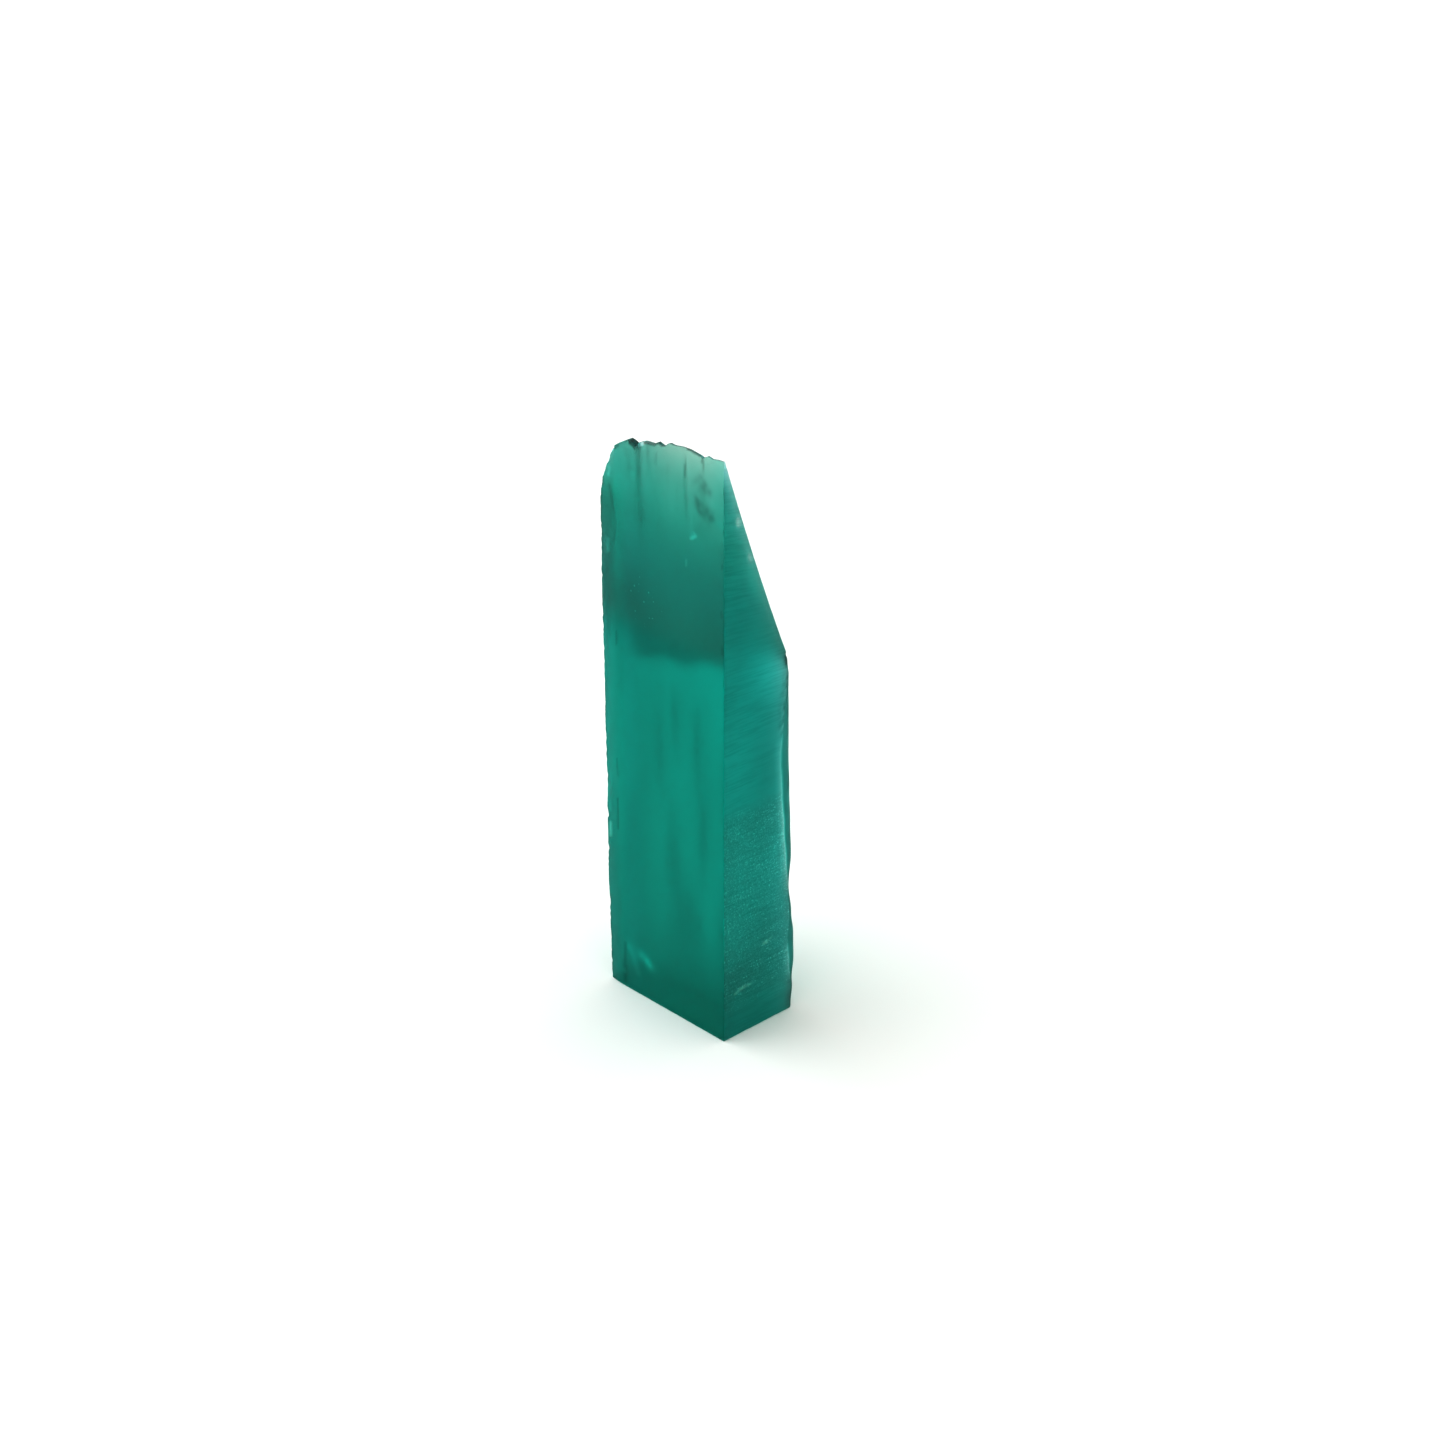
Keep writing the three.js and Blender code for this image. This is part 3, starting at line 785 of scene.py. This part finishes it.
def buildCrystal(name):
    lo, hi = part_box("emerald_crystal")
    right, front, base = hi.x / mm, lo.y / mm, lo.z / mm
    columns = steps(crystal["width"], crystal["stripStart"], crystal["rowStep"])[:-1]
    columns += steps(crystal["stripStart"], crystal["fineAcross"], crystal["columnStep"])[:-1]
    columns += steps(crystal["fineAcross"], crystal["cornerWidth"], crystal["fineStep"])[:-1]
    columns += steps(crystal["cornerWidth"], 0, crystal["fineStep"], tightEnd=True)
    kink, top = kinkHeight(0), crystal["height"]
    fineFrom, fineTo = crystal["fineHeights"]
    heights = steps(kink, fineFrom, crystal["rowStep"])[:-1]
    heights += steps(fineFrom, fineTo, crystal["fineStep"])[:-1]
    heights += steps(fineTo, top, crystal["rowStep"], tightEnd=True)
    lows = [z / kink for z in steps(0, kink, crystal["rowStep"], tightStart=True)]
    ups = [(z - kink) / (top - kink) for z in heights]
    rows = [(low, None) for low in lows] + [(1, up) for up in ups[1:]]
    shares = [j / crystal["layers"] for j in range(crystal["layers"] + 1)]
    firstShare = crystal["edgeStep"] / crystal["usualDepth"]
    shares.insert(1, firstShare)
    shares.insert(-1, 1 - firstShare)
    lastColumn, lastLayer, lastRow = len(columns) - 1, len(shares) - 1, len(rows) - 1

    points, spots = [], {}

    def point(i, j, k):
        if (i, j, k) not in spots:
            low, up = rows[k]
            across, depth, z = crystalPoint(columns[i], shares[j], low, up)
            meet = sum([i == lastColumn, j == 0, k == 0])  # the sawn right, front and base
            footEdge = k == 0 and (i == 0 or j == lastLayer)
            backEdge = i == lastColumn and j == lastLayer
            if meet > 1 or footEdge or backEdge:
                worn = wornBy(across, depth, z)
                if i == lastColumn:
                    across += worn
                if j == 0 and z < crystal["height"] - crystal["tipHeight"]:
                    depth += worn
                if j == lastLayer:
                    depth -= worn
                if k == 0:
                    z += worn
            spots[i, j, k] = len(points)
            points.append(((right - across) * mm, (front + depth) * mm, (base + z) * mm))
        return spots[i, j, k]

    faces, regions = [], []
    kinkRow = len(lows) - 1

    def patch(corners, region):
        faces.append([point(*c) for c in corners])
        regions.append(region)

    for i in range(lastColumn):
        for k in range(lastRow):
            patch([(i, 0, k), (i + 1, 0, k), (i + 1, 0, k + 1), (i, 0, k + 1)], "front")
            j = lastLayer
            region = "slope" if k >= kinkRow else "back"
            patch([(i, j, k), (i, j, k + 1), (i + 1, j, k + 1), (i + 1, j, k)], region)
    for j in range(lastLayer):
        for k in range(lastRow):
            patch([(0, j, k), (0, j, k + 1), (0, j + 1, k + 1), (0, j + 1, k)], "left")
            i = lastColumn
            patch([(i, j, k), (i, j + 1, k), (i, j + 1, k + 1), (i, j, k + 1)], "side")
    for i in range(lastColumn):
        for j in range(lastLayer):
            patch([(i, j, 0), (i, j + 1, 0), (i + 1, j + 1, 0), (i + 1, j, 0)], "base")
            k = lastRow
            patch([(i, j, k), (i + 1, j, k), (i + 1, j + 1, k), (i, j + 1, k)], "rim")

    mesh = bpy.data.meshes.new(name)
    mesh.from_pydata(points, [], faces)
    mesh.update()
    paintSkin(mesh, regions, right, front, base)
    mesh.polygons.foreach_set("use_smooth", [True] * len(faces))
    mesh.set_sharp_from_angle(angle=math.radians(crystal["sharpAngle"]))
    piece = bpy.data.objects.new(name, mesh)
    bpy.context.scene.collection.objects.link(piece)
    report(f"{name} has {len(points)} points and {len(faces)} faces")
    return piece


# The room: a pale floor, a soft key from the upper left and a plain bright surround.
room = {
    "floorSize": 6,
    "floorShade": (0.87, 0.87, 0.87),
    "floorRoughness": 0.9,
    "floorGloss": 0.1,
    "floorGap": 0.02,  # in millimetres, under the crystal
    "surround": 0.63,
    "surroundTint": (1, 0.995, 0.955),
    "keyFrom": (-0.34, -0.2, 0.46),
    "keyAim": (0, 0, 0.015),
    "keySize": 0.6,
    "keyPower": 1.0,
    "keyTint": (0.9, 1, 1.03),
}


def buildRoom():
    side = room["floorSize"] / 2
    mesh = bpy.data.meshes.new("pale_floor")
    corners = [(-side, -side, 0), (side, -side, 0), (side, side, 0), (-side, side, 0)]
    mesh.from_pydata(corners, [], [(0, 1, 2, 3)])
    floor = bpy.data.objects.new("pale_floor", mesh)
    floor.location.z = cadBox[0].z - room["floorGap"] * mm
    bpy.context.scene.collection.objects.link(floor)
    paper = bpy.data.materials.new("paleFloor")
    paper.use_nodes = True
    skin = paper.node_tree.nodes["Principled BSDF"]
    skin.inputs["Base Color"].default_value = (*room["floorShade"], 1)
    skin.inputs["Roughness"].default_value = room["floorRoughness"]
    skin.inputs["Specular IOR Level"].default_value = room["floorGloss"]
    mesh.materials.append(paper)

    world = bpy.data.worlds.new("brightSurround")
    bpy.context.scene.world = world
    world.use_nodes = True
    world.node_tree.nodes["Background"].inputs["Color"].default_value = (*room["surroundTint"], 1)
    world.node_tree.nodes["Background"].inputs["Strength"].default_value = room["surround"]

    lamp = bpy.data.lights.new("keyLamp", "AREA")
    lamp.size = room["keySize"]
    lamp.energy = room["keyPower"]
    lamp.color = room["keyTint"]
    key = bpy.data.objects.new("keyLamp", lamp)
    key.location = room["keyFrom"]
    key.rotation_euler = (Vector(room["keyAim"]) - key.location).to_track_quat("-Z", "Y").to_euler()
    bpy.context.scene.collection.objects.link(key)
    report("floor and light are in place")


# The view, aimed from the front right foot of the crystal, in millimetres.
view = {
    "azimuth": 46.38,
    "elevation": 26.71,
    "distance": 189.6,
    "aim": (-4.392, 4.065, 20.01),
    "lens": 74.74,
    "sensor": 36,
    "clip": (0.01, 20),
    "look": "Very High Contrast",
}


def placeCamera():
    lo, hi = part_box("emerald_crystal")
    turn, tilt = math.radians(view["azimuth"]), math.radians(view["elevation"])
    back = Vector((math.sin(turn) * math.cos(tilt), -math.cos(turn) * math.cos(tilt), math.sin(tilt)))
    aim = Vector((hi.x, lo.y, lo.z)) + Vector(view["aim"]) * mm
    camera = bpy.data.objects.new("camera", bpy.data.cameras.new("camera"))
    camera.data.sensor_width = view["sensor"]
    camera.data.lens = view["lens"]
    camera.data.clip_start, camera.data.clip_end = view["clip"]
    camera.location = aim + back * view["distance"] * mm
    camera.rotation_euler = back.to_track_quat("Z", "Y").to_euler()
    bpy.context.scene.collection.objects.link(camera)
    bpy.context.scene.camera = camera
    bpy.context.scene.view_settings.view_transform = "Standard"
    bpy.context.scene.view_settings.look = view["look"]
    report("camera is in place")


placeCamera()
buildRoom()
emerald = buildCrystal("emerald_bar")
lowCorner, highCorner = (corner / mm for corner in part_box("emerald_crystal"))
emerald.data.materials.append(emeraldMaterial(highCorner.x, lowCorner.y, lowCorner.z))
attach(emerald, "root")
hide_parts("emerald_crystal")

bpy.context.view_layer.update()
report("sizes are written")
